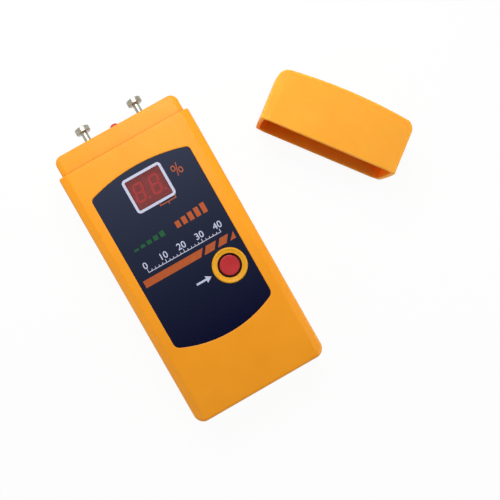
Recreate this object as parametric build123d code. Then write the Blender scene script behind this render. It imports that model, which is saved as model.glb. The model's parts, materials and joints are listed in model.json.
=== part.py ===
"""Pin moisture meter for paper and board, lying on its back with its cap taken off.

The origin is the centre of the flat back. +X is across the meter, +Y runs towards the two contact
electrodes, and +Z comes out of the front face. All sizes are in millimetres.
"""
import math
import os

from build123d import *

os.makedirs("parts", exist_ok=True)

# Housing
wall = 2.0
cut_over = 1.0
bevel_width = 4.2
bevel_drop = 1.3
side_bow = 0.5
foot_corner = 4.4
edge_round = 1.5
shoulder_round = 0.7
collar_height = 9.0
collar_corner = 3.6
collar_round = 1.2
least_corner = 0.6
lip_thickness = 0.85
lip_height = 1.2
lip_gap = 0.15
seam_depth = 0.25
seam_height = 0.5

# Protective cap, and where it lies beside the meter
cap_depth = 26.0
cap_wall = 1.7
cap_gap = 0.25
cap_corner = 4.4
cap_end_bow = 2.2
cap_side_distance = 45.55
cap_y = 12.4
cap_turn = -52.0

# Front label and display window
label_side_margin = 8.45
label_top_margin = 15.2
label_top_crown = 3.9
label_foot_margin = 35.0
label_bottom_crown = 5.8
label_top_corner = 2.0
label_bottom_corner = 3.2
label_thickness = 0.35
label_gap = 0.12
label_step = 0.05
window_x = 0.15
window_from_shoulder = 22.5
window_width = 16.4
window_height = 13.6
window_corner = 0.8
window_gap = 0.15
window_flange = 1.5
window_flange_thickness = 1.0
window_frame_wall = 1.0
window_frame_height = 1.6

# Test button in its dished ring
test_from_board_end = 17.2
label_beside_ring = 2.2
ring_radius = 7.9
ring_rise = 0.5
ring_dish = 0.9
ring_edge = 0.35
test_hole_radius = 5.45
test_cap_radius = 4.75
test_cap_sink = 0.7
test_cap_crown = 0.3
test_cap_edge = 0.6
test_flange_radius = 6.2
test_flange_thickness = 1.2
test_flange_gap = 0.2
test_stem_radius = 2.2
test_guide_gap = 0.3
test_guide_wall = 1.0
test_guide_height = 3.2
switch_size = 12.0
switch_height = 3.5
switch_corner = 1.0
plunger_radius = 3.3
plunger_gap = 0.3
plunger_rise = 1.0
plunger_edge = 0.3
plunger_in_body = 2.2
plunger_hole_depth = 2.8

# Contact electrodes, one each side of the check button
electrode_beside_screw = 5.1
electrode_head_radius = 3.45
electrode_head_height = 2.5
electrode_head_edge = 0.3
electrode_neck_radius = 1.5
electrode_neck_length = 6.2
electrode_stud_radius = 1.25
electrode_stud_length = 6.0
electrode_hole_gap = 0.05
lug_thickness = 0.5
lug_radius = 2.6
lug_tail_width = 2.2
lug_tail_rise = 6.6
nut_across_flats = 5.0
nut_height = 2.0

# Red check button in the end of the collar
check_radius = 2.1
check_reach = 3.2
check_edge = 1.5
check_hole_gap = 0.3
check_paddle_width = 7.2
check_paddle_drop = 2.9
check_paddle_rise = 2.2
check_paddle_thickness = 1.4
check_paddle_gap = 0.3
check_paddle_corner = 0.8
check_stem_size = 2.6
check_switch_width = 6.2
check_switch_length = 3.8
check_switch_height = 6.4
check_switch_back = 0.2
check_plunger_radius = 1.5
check_plunger_gap = 0.25
check_plunger_in_body = 2.2
check_plunger_hole_depth = 2.9
check_plunger_rise = 1.2
check_axis_rise = 3.2

# Circuit board and what it carries
board_thickness = 1.6
board_length = 77.0
board_side_room = 11.25
board_foot_room = 6.8
board_head_room = 9.5
board_corner = 1.5
board_hole_radius = 1.2
board_screw_inset = 3.0
board_boss_radius = 2.5
board_screw_radius = 1.0
board_screw_head_radius = 2.0
board_screw_head_height = 1.5
board_screw_bite = 5.0
screw_gap = 0.05
module_shift_x = -0.65
module_shift_y = 0.6
module_air = 0.3
module_width = 15.0
module_length = 14.0
module_height = 7.1
digit_pitch = 8.0
digit_width = 4.9
digit_height = 9.0
digit_slant = 8.0
segment_width = 1.05
segment_gap = 0.15
segment_rise = 0.2
chip_length = 25.4
chip_width = 6.6
chip_height = 3.4
chip_lift = 0.3
chip_edge = 0.3
chip_notch_radius = 0.8
chip_notch_depth = 0.4
chip_pins_per_side = 10
chip_from_side = 13.5
chip_below_module = 3.0
amplifier_length = 9.8
amplifier_pins_per_side = 4
amplifier_from_side = 13.1
amplifier_below_module = 1.2
pin_pitch = 2.54
pin_width = 0.6
pin_thickness = 0.3
pin_reach = 0.6
trimmer_from_side = 5.7
trimmer_below_middle = 2.6
trimmer_size = 6.8
trimmer_height = 4.4
trimmer_edge = 0.5
rotor_radius = 2.2
rotor_gap = 0.06
rotor_depth = 1.4
rotor_rise = 0.4
rotor_slot_width = 0.7
rotor_slot_depth = 0.8
capacitor_radius = 2.5
capacitor_height = 6.6
capacitor_edge = 0.3
small_part_from_side = 4.5
capacitor_left_below = 25.0
capacitor_right_below = 36.0
regulator_from_side = 5.0
regulator_from_board_end = 14.0
regulator_radius = 2.3
regulator_flat = 1.3
regulator_height = 4.6
regulator_lift = 1.8
leg_width = 0.5
leg_pitch = 1.27
resistor_radius = 1.1
resistor_length = 5.2
resistor_span = 8.0
resistor_leg = 0.5
resistor_lift = 0.3
resistor_pitch = 4.0
left_resistors_below = 31.0
left_resistor_count = 4
right_resistors_below = 24.0
right_resistor_count = 2

# Battery, its snap connector and its door
battery_length = 46.4
battery_width = 26.5
battery_depth = 17.5
battery_edge = 2.0
battery_end_edge = 0.5
battery_play = 0.4
battery_lift = 0.2
battery_side_room = 5.2
terminal_pitch = 12.7
terminal_radius = 2.8
terminal_height = 2.0
terminal_lip = 0.5
connector_end_room = 0.65
connector_width = 12.5
connector_thickness = 4.4
connector_gap = 0.3
connector_edge = 1.2
terminal_socket_gap = 0.15
partition_thickness = 1.4
partition_below_battery = 1.7
partition_gap = 0.3
lead_notch_width = 4.0
lead_notch_below_middle = 2.75
door_beside_corner = 2.4
door_gap = 0.25
door_plate = 1.8
door_height = 3.0
door_wall = 1.35
door_tongue = 1.65
door_slot_gap = 0.15
door_end_lip = 1.8
door_latch_half_width = 5.0
door_latch_reach = 1.2
door_sill = 0.6
rail_thickness = 1.25
rail_beside_battery = 0.85
grip_length = 18.0
grip_width = 8.0
grip_depth = 0.7
grip_rib = 0.9
grip_rib_count = 4
pad_end_room = 8.2
pad_side_room = 5.25
press_rib_thickness = 1.2
press_rib_half_length = 20.0
press_rib_height = 2.0
press_rib_gap = 0.3

# Case screws and their posts
case_screw_from_side = 7.45
case_screw_from_bay = 7.8
case_screw_from_shoulder = 13.5
case_post_radius = 3.2
case_screw_radius = 1.4
case_screw_head_radius = 2.7
case_screw_head_height = 2.0
case_screw_sink = 1.0
case_screw_bite = 8.0
recess_reach = 0.6
recess_arm = 0.13
recess_depth = 0.35
cross_rib_thickness = 1.2
cross_rib_height = 2.0
cross_rib_first = 9.0
cross_rib_pitch = 28.0
cross_rib_count = 3

# Leads inside the housing
bend_share = 0.45
battery_lead_radius = 0.65
battery_lead_spacing = 3.4
battery_lead_lift = 2.0
battery_lead_past_partition = 1.6
battery_lead_side = 3.0
battery_lead_before_board = 1.2
battery_lead_under_board = 4.8
battery_pad_x = 12.5
battery_pad_spacing = 3.0
battery_pad_from_end = 4.5
electrode_lead_radius = 0.55
electrode_lead_below_tip = 0.9
electrode_lead_straight = 5.5
electrode_lead_drift = 0.8
electrode_lead_run = 8.0
electrode_lead_sag = 1.2
electrode_pad_from_end = 4.8
electrode_lead_rise = 3.8

# Places worked out from the sizes above
battery_run = battery_length + connector_gap + connector_thickness
battery_floor = door_height + battery_lift
body_width = battery_run + 2 * (battery_side_room + wall)
body_thickness = battery_floor + battery_depth + press_rib_gap + press_rib_height + wall
bay_length = battery_width + 2 * battery_play
inside_length = bay_length + partition_thickness + board_foot_room + board_length + board_head_room
shell_length = wall + inside_length + collar_height
foot = -shell_length / 2
top = shell_length / 2
shoulder = top - collar_height
middle = body_thickness / 2
collar_inset = cap_wall + cap_gap
ceiling = body_thickness - wall
cap_x = body_width / 2 + cap_side_distance
bay_end = foot + wall + bay_length
partition_end = bay_end + partition_thickness
board_low = partition_end + board_foot_room
board_high = board_low + board_length
board_half_width = body_width / 2 - board_side_room
board_top = ceiling - window_flange_thickness - module_air - module_height
board_screw_x = board_half_width - board_screw_inset
board_screw_low = board_low + board_screw_inset
board_screw_high = board_high - board_screw_inset
label_half_width = body_width / 2 - label_side_margin
label_top = shoulder - label_top_margin
label_bottom = foot + label_foot_margin
window_y = shoulder - window_from_shoulder
electrode_offset = board_screw_x - electrode_beside_screw
module_x = window_x + module_shift_x
module_y = window_y + module_shift_y
module_low = module_y - module_length / 2
test_x = label_half_width - ring_radius - label_beside_ring
test_y = board_low + test_from_board_end
trimmer_x = board_half_width - trimmer_from_side
trimmer_y = module_y - trimmer_below_middle
chip_x = -board_half_width + chip_from_side
chip_y = module_low - chip_below_module - chip_length / 2
amplifier_x = board_half_width - amplifier_from_side
amplifier_y = module_low - amplifier_below_module - amplifier_length / 2
regulator_x = -board_half_width + regulator_from_side
regulator_y = board_high - regulator_from_board_end
small_part_x = board_half_width - small_part_from_side
capacitor_spots = [
    (-small_part_x, board_high - capacitor_left_below),
    (small_part_x, board_high - capacitor_right_below),
]
label_floor = body_thickness - label_thickness - label_step
label_face = body_thickness - label_step
collar_wall_inside = top - wall
board_bottom = board_top - board_thickness
module_face = board_top + module_height
battery_y = foot + wall + bay_length / 2
connector_length = battery_width - 2 * connector_end_room
pad_length = battery_length - 2 * pad_end_room
pad_width = battery_width - 2 * pad_side_room
battery_middle = battery_floor + battery_depth / 2
battery_left = -battery_run / 2
battery_right = battery_left + battery_length
connector_left = battery_right + connector_gap
door_half_width = body_width / 2 - foot_corner - door_beside_corner
door_opening = door_half_width + door_gap
door_side = door_half_width + door_tongue
door_inner_end = bay_end - door_sill
case_screw_x = body_width / 2 - case_screw_from_side
case_screw_low = partition_end + case_screw_from_bay
case_screw_high = shoulder - case_screw_from_shoulder
case_screw_spots = [
    (x, y) for x in (-case_screw_x, case_screw_x) for y in (case_screw_low, case_screw_high)
]
board_screw_spots = [
    (x, y) for x in (-board_screw_x, board_screw_x) for y in (board_screw_low, board_screw_high)
]
cross_section_plane = Plane(origin=(0, 0, middle), x_dir=(1, 0, 0), z_dir=(0, 1, 0))


def block(x_low, x_high, y_low, y_high, z_low, z_high):
    """Rectangular block between two corners."""
    place = Pos((x_low + x_high) / 2, (y_low + y_high) / 2, (z_low + z_high) / 2)
    return place * Box(x_high - x_low, y_high - y_low, z_high - z_low)


def post(x, y, z_low, z_high, radius):
    """Upright round post or hole."""
    return Pos(x, y, (z_low + z_high) / 2) * Cylinder(radius, z_high - z_low)


def rod(x, z, y_low, y_high, radius):
    """Round bar or hole along Y."""
    return Pos(x, (y_low + y_high) / 2, z) * Rot(90, 0, 0) * Cylinder(radius, y_high - y_low)


def housing_section(inset):
    """Cross-section of the housing: flat front and back, shallow bevels, slightly bowed sides."""
    half_width = body_width / 2
    half_thickness = body_thickness / 2
    flat = half_width - bevel_width
    side = half_width - side_bow
    low = half_thickness - bevel_drop
    front = Polyline((-side, low), (-flat, half_thickness), (flat, half_thickness), (side, low))
    right = ThreePointArc((side, low), (half_width, 0), (side, -low))
    back = Polyline((side, -low), (flat, -half_thickness), (-flat, -half_thickness), (-side, -low))
    left = ThreePointArc((-side, -low), (-half_width, 0), (-side, low))
    outline = make_face(front + right + back + left)
    if inset:
        outline = offset(outline, -inset, kind=Kind.INTERSECTION)
    return outline


def moulded_block(inset, length, end_corner, rounding, end_bow=0.0):
    """Length of the housing section from y = 0, with its rounded end at y = length."""
    solid = extrude(cross_section_plane * housing_section(inset), length)
    if end_bow:
        half_width = body_width / 2
        left_corner = (-half_width, length - end_bow)
        right_corner = (half_width, length - end_bow)
        sides = Polyline(left_corner, (-half_width, 0), (half_width, 0), right_corner)
        crown = ThreePointArc(right_corner, (0, length), left_corner)
        solid = solid & extrude(make_face(sides + crown), body_thickness)
    end = solid.faces().sort_by(Axis.Y)[-1]
    uprights = end.edges().sort_by(Axis.X)
    solid = fillet([uprights[0], uprights[-1]], end_corner)
    if rounding:
        quarter = body_thickness / 4
        chain = [
            edge
            for edge in solid.edges()
            if edge.center().Y > 0.01 and abs(edge.center().Z - middle) > quarter
        ]
        solid = fillet(chain, rounding)
    return solid


def housing_solid(inset, rounded):
    """Body and narrower collar as one solid, set in by a given distance on every side."""
    body_length = shoulder - foot - 2 * inset
    body_corner = max(foot_corner - inset, least_corner)
    body = moulded_block(inset, body_length, body_corner, edge_round if rounded else 0.0)
    if rounded:
        rim = body.faces().sort_by(Axis.Y)[0].edges()
        body = fillet(rim, shoulder_round)
    body = Pos(0, shoulder - inset, 0) * Rot(0, 0, 180) * body
    overlap = wall
    collar_length = collar_height + overlap
    corner = max(collar_corner - inset, least_corner)
    collar = moulded_block(collar_inset + inset, collar_length, corner, collar_round if rounded else 0.0)
    return body + Pos(0, shoulder - inset - overlap, 0) * collar


def rounded_outline(half_width, y_low, y_high, low_corner, high_corner):
    """Rectangle seen from the front, with its own corner radius at each end."""
    outline = Pos(0, (y_low + y_high) / 2) * Rectangle(2 * half_width, y_high - y_low)
    corners = outline.vertices().sort_by(Axis.Y)
    if low_corner:
        outline = fillet(corners[:2], low_corner)
    if high_corner:
        outline = fillet(outline.vertices().sort_by(Axis.Y)[-2:], high_corner)
    return outline


def housing_outline(inset):
    """Outline of the housing at its seam, seen from the front."""
    half_width = body_width / 2 - inset
    body_corner = max(foot_corner - inset, least_corner)
    body = rounded_outline(half_width, foot + inset, shoulder - inset, body_corner, 0)
    half_collar = half_width - collar_inset
    corner = max(collar_corner - inset, least_corner)
    collar = rounded_outline(half_collar, shoulder - wall - inset, top - inset, 0, corner)
    return body + collar


def slab(outline, z_low, z_high):
    """Outline raised between two heights."""
    return Pos(0, 0, z_low) * extrude(outline, z_high - z_low)


def seam_groove():
    """Fine groove round the seam between the two shells."""
    ring = housing_outline(-seam_depth) - housing_outline(seam_depth)
    return slab(ring, middle - seam_height / 2, middle + seam_height / 2)


def collar_holes():
    """Holes through the collar's end wall for the electrodes and the check button."""
    reach = (top - 2 * wall, top + wall)
    stud_hole = electrode_stud_radius + electrode_hole_gap
    left = rod(-electrode_offset, middle, *reach, stud_hole)
    right = rod(electrode_offset, middle, *reach, stud_hole)
    return left + right + rod(0, middle, *reach, check_radius + check_hole_gap)


def label_outline(gap):
    """Outline of the front label: straight sides and crowned ends."""
    left_top = (-label_half_width, label_top)
    right_top = (label_half_width, label_top)
    left_bottom = (-label_half_width, label_bottom)
    right_bottom = (label_half_width, label_bottom)
    crown = ThreePointArc(left_top, (0, label_top + label_top_crown), right_top)
    right = Line(right_top, right_bottom)
    foot_arc = ThreePointArc(right_bottom, (0, label_bottom - label_bottom_crown), left_bottom)
    left = Line(left_bottom, left_top)
    outline = make_face(crown + right + foot_arc + left)
    outline = fillet(outline.vertices().sort_by(Axis.Y)[-2:], label_top_corner)
    outline = fillet(outline.vertices().sort_by(Axis.Y)[:2], label_bottom_corner)
    if gap:
        outline = offset(outline, gap)
    return outline


def window_outline(gap):
    """Rounded rectangle of the display window, grown by a gap."""
    shape = RectangleRounded(window_width + 2 * gap, window_height + 2 * gap, window_corner + max(gap, 0))
    return Pos(window_x, window_y) * shape


def dished_ring():
    """Raised ring round the test button, dished towards its hole."""
    rim = body_thickness + ring_rise
    low = body_thickness - wall
    profile = Polyline(
        (test_hole_radius, low),
        (ring_radius, low),
        (ring_radius, rim - ring_edge),
        (ring_radius - ring_edge, rim),
        (ring_radius - 2 * ring_edge, rim),
        (test_hole_radius + ring_edge, rim - ring_dish),
        (test_hole_radius, rim - ring_dish - ring_edge),
        close=True,
    )
    return Pos(test_x, test_y) * revolve(make_face(Plane.XZ * profile), Axis.Z)


def make_front_shell(outer, inner):
    """Front half of the housing, with its bosses, ribs, window and button guide."""
    half = block(-body_width, body_width, foot - wall, top + wall, middle, body_thickness)
    shell = (outer & half) - inner
    rebate = housing_outline(wall - lip_thickness - lip_gap) - housing_outline(wall + lip_gap)
    shell -= slab(rebate, middle, middle + lip_height + lip_gap)
    inside = Part()
    for x, y in case_screw_spots:
        inside += post(x, y, middle, ceiling, case_post_radius)
    for x, y in board_screw_spots:
        inside += post(x, y, board_top, ceiling, board_boss_radius)
    guide_radius = test_flange_radius + test_guide_gap
    inside += post(test_x, test_y, ceiling - test_guide_height, ceiling, guide_radius + test_guide_wall)
    frame_gap = window_flange + window_gap
    frame = window_outline(frame_gap + window_frame_wall) - window_outline(frame_gap)
    inside += slab(frame, ceiling - window_frame_height, ceiling)
    rib_tip = battery_floor + battery_depth + press_rib_gap
    for y in (battery_y - battery_width / 4, battery_y, battery_y + battery_width / 4):
        half_rib = press_rib_thickness / 2
        half_length = press_rib_half_length
        inside += block(-half_length, half_length, y - half_rib, y + half_rib, rib_tip, ceiling)
    shell += inside
    for x, y in case_screw_spots:
        bite = case_screw_bite + cut_over
        shell -= post(x, y, middle, middle + bite, case_screw_radius + screw_gap)
    for x, y in board_screw_spots:
        bite = board_screw_bite + cut_over
        shell -= post(x, y, board_top, board_top + bite, board_screw_radius + screw_gap)
    pocket = label_outline(label_gap) - Pos(test_x, test_y) * Circle(ring_radius)
    shell -= slab(pocket, label_floor, body_thickness + cut_over)
    shell += dished_ring()
    shell -= post(test_x, test_y, ceiling - test_guide_height, ceiling, guide_radius)
    shell -= post(test_x, test_y, ceiling - cut_over, body_thickness + ring_rise, test_hole_radius)
    shell -= slab(window_outline(window_gap), ceiling - cut_over, body_thickness)
    shell -= seam_groove()
    return shell - collar_holes()


def door_passage():
    """Space cut from the back shell and its end wall for the battery door to slide out through."""
    opening = block(-door_opening, door_opening, foot - wall, door_inner_end, -cut_over, wall + door_slot_gap)
    half_exit = door_side + door_gap
    slot_top = door_height + door_slot_gap
    end_slot = block(-half_exit, half_exit, foot - wall, foot + wall, -cut_over, slot_top)
    latch_half = door_latch_half_width + door_gap
    latch_slot = block(-latch_half, latch_half, door_inner_end, partition_end, wall, slot_top)
    return opening + end_slot + latch_slot


def make_back_shell(outer, inner):
    """Back half of the housing, with screw posts, battery bay, door rails and seam lip."""
    half = block(-body_width, body_width, foot - wall, top + wall, 0, middle)
    shell = (outer & half) - inner
    lip = housing_outline(wall - lip_thickness) - housing_outline(wall)
    shell += slab(lip, middle, middle + lip_height)
    side = body_width / 2 - wall / 2
    inside = Part()
    for x, y in case_screw_spots:
        inside += post(x, y, wall / 2, middle, case_post_radius)
    for index in range(cross_rib_count):
        y = board_low + cross_rib_first + index * cross_rib_pitch
        half_rib = cross_rib_thickness / 2
        inside += block(-side, side, y - half_rib, y + half_rib, wall / 2, wall + cross_rib_height)
    tall = battery_floor + battery_depth - partition_below_battery
    partition = block(-side, side, bay_end, partition_end, wall / 2, tall)
    notch_middle = connector_left + connector_thickness / 2
    notch_low = notch_middle - lead_notch_width / 2
    notch_high = notch_middle + lead_notch_width / 2
    notch_floor = battery_middle - lead_notch_below_middle
    partition -= block(notch_low, notch_high, bay_end - cut_over, partition_end + cut_over, notch_floor, tall)
    inside += partition
    rail_low = door_height + door_slot_gap
    for sign in (-1, 1):
        edges = sorted((sign * (battery_run / 2 + rail_beside_battery), sign * side))
        rail_high = rail_low + rail_thickness
        inside += block(*edges, foot + wall / 2, bay_end + wall / 2, rail_low, rail_high)
    keep = slab(housing_outline(wall - lip_thickness), 0, middle) & outer
    keep += slab(housing_outline(wall + partition_gap), middle, body_thickness)
    shell += inside & keep
    shell -= door_passage()
    for x, y in case_screw_spots:
        seat = case_screw_sink + case_screw_head_height
        shell -= post(x, y, -cut_over, seat, case_screw_head_radius + screw_gap)
        shell -= post(x, y, 0, middle, case_screw_radius + screw_gap)
    shell -= seam_groove()
    return shell - collar_holes()


def make_cap():
    """Protective cap, made over the collar and then laid beside the meter."""
    outside = moulded_block(0, cap_depth, cap_corner, edge_round, cap_end_bow)
    hollow_depth = cap_depth - cap_wall - cap_end_bow
    hollow = moulded_block(cap_wall, hollow_depth, cap_corner - cap_wall, 0.0)
    cap = outside - hollow
    return Pos(cap_x, cap_y, 0) * Rot(0, 0, cap_turn) * cap


def make_label():
    """Printed film on the front, cut out for the window and the button ring."""
    ring = Pos(test_x, test_y) * Circle(ring_radius + label_gap)
    film = label_outline(0) - ring - window_outline(window_gap)
    return slab(film, label_floor, label_face)


def make_window():
    """Red filter with a land that fills the label's cut-out and a flange behind the shell."""
    flange = slab(window_outline(window_flange), ceiling - window_flange_thickness, ceiling)
    return flange + slab(window_outline(0), ceiling, label_face)


def make_test_button():
    """Round red button with a slightly crowned top, a flange and a stem."""
    cap_top = body_thickness + ring_rise - test_cap_sink
    flange_top = ceiling - test_flange_gap
    flange_low = flange_top - test_flange_thickness
    stem_low = board_top + switch_height + plunger_rise
    rim = cap_top - test_cap_crown
    sides = Polyline(
        (test_cap_radius, rim - test_cap_edge),
        (test_cap_radius, flange_top),
        (test_flange_radius, flange_top),
        (test_flange_radius, flange_low),
        (test_stem_radius, flange_low),
        (test_stem_radius, stem_low),
        (0, stem_low),
        (0, cap_top),
    )
    crown_reach = test_cap_radius - test_cap_edge
    crown_radius = (crown_reach**2 + test_cap_crown**2) / (2 * test_cap_crown)
    crown = RadiusArc((0, cap_top), (crown_reach, rim), crown_radius)
    edge = Line((crown_reach, rim), (test_cap_radius, rim - test_cap_edge))
    profile = make_face(Plane.XZ * (sides + crown + edge))
    return Pos(test_x, test_y) * revolve(profile, Axis.Z)


def make_test_switch():
    """Square push switch on the board and its round plunger."""
    half = switch_size / 2
    top_z = board_top + switch_height
    body = block(test_x - half, test_x + half, test_y - half, test_y + half, board_top, top_z)
    body = fillet(body.edges().filter_by(Axis.Z), switch_corner)
    body -= post(test_x, test_y, top_z - plunger_hole_depth, top_z, plunger_radius + plunger_gap)
    plunger = post(test_x, test_y, top_z - plunger_in_body, top_z + plunger_rise, plunger_radius)
    plunger = chamfer(plunger.faces().sort_by(Axis.Z)[-1].edges(), plunger_edge)
    return body, plunger


def make_electrode(x):
    """Turned contact electrode: round head, plain neck and a thinner stud through the wall."""
    head_low = top + electrode_neck_length
    head_top = head_low + electrode_head_height
    stud_end = collar_wall_inside - electrode_stud_length
    profile = Polyline(
        (0, stud_end),
        (electrode_stud_radius, stud_end),
        (electrode_stud_radius, top),
        (electrode_neck_radius, top),
        (electrode_neck_radius, head_low),
        (electrode_head_radius - electrode_head_edge, head_low),
        (electrode_head_radius, head_low + electrode_head_edge),
        (electrode_head_radius, head_top - electrode_head_edge),
        (electrode_head_radius - electrode_head_edge, head_top),
        (0, head_top),
        close=True,
    )
    return Pos(x, 0, middle) * revolve(make_face(profile), Axis.Y)


def make_nut(x):
    """Hexagon nut that holds an electrode from inside."""
    outline = RegularPolygon(nut_across_flats / 2, 6, major_radius=False)
    outline -= Circle(electrode_stud_radius + electrode_hole_gap)
    plane = Plane(origin=(x, collar_wall_inside - lug_thickness, middle), x_dir=(1, 0, 0), z_dir=(0, -1, 0))
    return extrude(plane * outline, nut_height)


def make_lug(x):
    """Flat solder tag under an electrode's nut, with its tail upright."""
    tail = Pos(0, lug_tail_rise / 2) * Rectangle(lug_tail_width, lug_tail_rise)
    outline = Circle(lug_radius) + tail - Circle(electrode_stud_radius + electrode_hole_gap)
    plane = Plane(origin=(x, collar_wall_inside, middle), x_dir=(1, 0, 0), z_dir=(0, -1, 0))
    return extrude(plane * outline, lug_thickness)


def make_check_button():
    """Red button in the collar's end: round tip, paddle behind the wall and a stem to its switch."""
    paddle_high_y = collar_wall_inside - check_paddle_gap
    paddle_low_y = paddle_high_y - check_paddle_thickness
    tip = rod(0, middle, paddle_high_y, top + check_reach, check_radius)
    tip = fillet(tip.faces().sort_by(Axis.Y)[-1].edges(), check_edge)
    half = check_paddle_width / 2
    axis_z = board_top + check_axis_rise
    paddle_low = middle - check_paddle_drop
    paddle = block(-half, half, paddle_low_y, paddle_high_y, paddle_low, axis_z + check_paddle_rise)
    paddle = fillet(paddle.edges().filter_by(Axis.Y), check_paddle_corner)
    half_stem = check_stem_size / 2
    stem_end = board_high - check_switch_back + check_plunger_rise
    stem = block(-half_stem, half_stem, stem_end, paddle_low_y, axis_z - half_stem, axis_z + half_stem)
    return tip + paddle + stem


def make_check_switch():
    """Push switch at the board's edge that faces the collar, and its plunger."""
    half = check_switch_width / 2
    front = board_high - check_switch_back
    axis_z = board_top + check_axis_rise
    body = block(-half, half, front - check_switch_length, front, board_top, board_top + check_switch_height)
    body -= rod(0, axis_z, front - check_plunger_hole_depth, front, check_plunger_radius + check_plunger_gap)
    plunger = rod(0, axis_z, front - check_plunger_in_body, front + check_plunger_rise, check_plunger_radius)
    return body, plunger


def make_board():
    """Circuit board with its four screw holes."""
    width = 2 * board_half_width
    length = board_high - board_low
    outline = Pos(0, (board_low + board_high) / 2) * RectangleRounded(width, length, board_corner)
    for x, y in board_screw_spots:
        outline -= Pos(x, y) * Circle(board_hole_radius)
    return slab(outline, board_bottom, board_top)


def segment_outline(length):
    """One display segment: a bar with pointed ends."""
    half = length / 2
    half_width = segment_width / 2
    corners = [
        (-half, 0),
        (-half + half_width, half_width),
        (half - half_width, half_width),
        (half, 0),
        (half - half_width, -half_width),
        (-half + half_width, -half_width),
    ]
    return corners


def make_segments():
    """Seven segments and a point for each of the two digits, leaning to the right."""
    lean = math.tan(math.radians(digit_slant))
    span = digit_width - segment_width
    half_rise = (digit_height - segment_width) / 2
    bars = []
    for level in (-half_rise, 0, half_rise):
        bars.append([(u, level + v) for u, v in segment_outline(span - segment_gap)])
    rise = half_rise - segment_gap
    for x in (-span / 2, span / 2):
        for y in (-half_rise / 2, half_rise / 2):
            bars.append([(x + v, y + u) for u, v in segment_outline(rise)])
    solids = []
    for digit_x in (module_x - digit_pitch / 2, module_x + digit_pitch / 2):
        for bar in bars:
            leaned = [(digit_x + x + y * lean, module_y + y) for x, y in bar]
            face = make_face(Polyline(*leaned, close=True))
            solids.append(slab(face, module_face, module_face + segment_rise))
        point_x = digit_x + digit_width / 2 + segment_width / 2
        point = Pos(point_x, module_y - half_rise) * Circle(segment_width / 2)
        solids.append(slab(point, module_face, module_face + segment_rise))
    return Compound(children=solids)


def make_chip(x, y, length, pins_per_side):
    """Chip along Y with a row of bent pins down each side."""
    seat = board_top + chip_lift
    half = chip_width / 2
    body = block(x - half, x + half, y - length / 2, y + length / 2, seat, seat + chip_height)
    body = chamfer(body.faces().sort_by(Axis.Z)[-1].edges(), chip_edge)
    notch_low = seat + chip_height - chip_notch_depth
    body -= post(x, y + length / 2, notch_low, seat + chip_height, chip_notch_radius)
    shoulder_z = seat + chip_height / 2
    for side in (-1, 1):
        reach = half + pin_reach
        path = [
            (side * half, shoulder_z),
            (side * reach, shoulder_z),
            (side * reach, board_top),
            (side * (reach - pin_thickness), board_top),
            (side * (reach - pin_thickness), shoulder_z - pin_thickness),
            (side * half, shoulder_z - pin_thickness),
        ]
        face = make_face(Plane.XZ * Polyline(*path, close=True))
        for index in range(pins_per_side):
            pin_y = y + (index - (pins_per_side - 1) / 2) * pin_pitch
            body += Pos(x, pin_y + pin_width / 2, 0) * extrude(face, pin_width)
    return body


def make_trimmer():
    """Square trimmer and the slotted rotor that turns in it."""
    half = trimmer_size / 2
    body = block(-half, half, -half, half, board_top, board_top + trimmer_height)
    body = chamfer(body.edges().filter_by(Axis.Z), trimmer_edge)
    seat = board_top + trimmer_height - rotor_depth
    body -= post(0, 0, seat, board_top + trimmer_height, rotor_radius + rotor_gap)
    rotor_top = board_top + trimmer_height + rotor_rise
    rotor = post(0, 0, seat + rotor_gap, rotor_top, rotor_radius)
    half_slot = rotor_slot_width / 2
    rotor -= block(-half, half, -half_slot, half_slot, rotor_top - rotor_slot_depth, rotor_top)
    place = Pos(trimmer_x, trimmer_y, 0)
    return place * body, place * rotor


def make_capacitors():
    """Two upright electrolytic capacitors."""
    cans = []
    for x, y in capacitor_spots:
        can = post(x, y, board_top, board_top + capacitor_height, capacitor_radius)
        can = chamfer(can.faces().sort_by(Axis.Z)[-1].edges(), capacitor_edge)
        cans.append(can)
    return Compound(children=cans)


def make_regulator():
    """Small D-shaped regulator on three legs."""
    low = board_top + regulator_lift
    body = post(regulator_x, regulator_y, low, low + regulator_height, regulator_radius)
    cut = regulator_radius + cut_over
    body -= block(
        regulator_x + regulator_flat,
        regulator_x + cut,
        regulator_y - cut,
        regulator_y + cut,
        low,
        low + regulator_height,
    )
    half = leg_width / 2
    for index in (-1, 0, 1):
        y = regulator_y + index * leg_pitch
        body += block(regulator_x - half, regulator_x + half, y - half, y + half, board_top, low)
    return body


def resistor_places():
    """Centres of the resistors, in one column down each side of the board."""
    places = []
    for index in range(left_resistor_count):
        places.append((-small_part_x, board_high - left_resistors_below - index * resistor_pitch))
    for index in range(right_resistor_count):
        places.append((small_part_x, board_high - right_resistors_below - index * resistor_pitch))
    return places


def make_resistors():
    """Resistors lying on the board, each between two bent legs."""
    bodies = []
    axis_z = board_top + resistor_lift + resistor_radius
    for x, y in resistor_places():
        low_x = x - resistor_span / 2
        high_x = x + resistor_span / 2
        path = Polyline(
            (low_x, y, board_top),
            (low_x, y, axis_z),
            (high_x, y, axis_z),
            (high_x, y, board_top),
        )
        section = Pos(low_x, y, board_top) * Rectangle(resistor_leg, resistor_leg)
        wire = sweep(section, path=path, transition=Transition.RIGHT)
        barrel = Pos(x, y, axis_z) * Rot(0, 90, 0) * Cylinder(resistor_radius, resistor_length)
        bodies.append(wire + barrel)
    return Compound(children=bodies)


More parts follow.
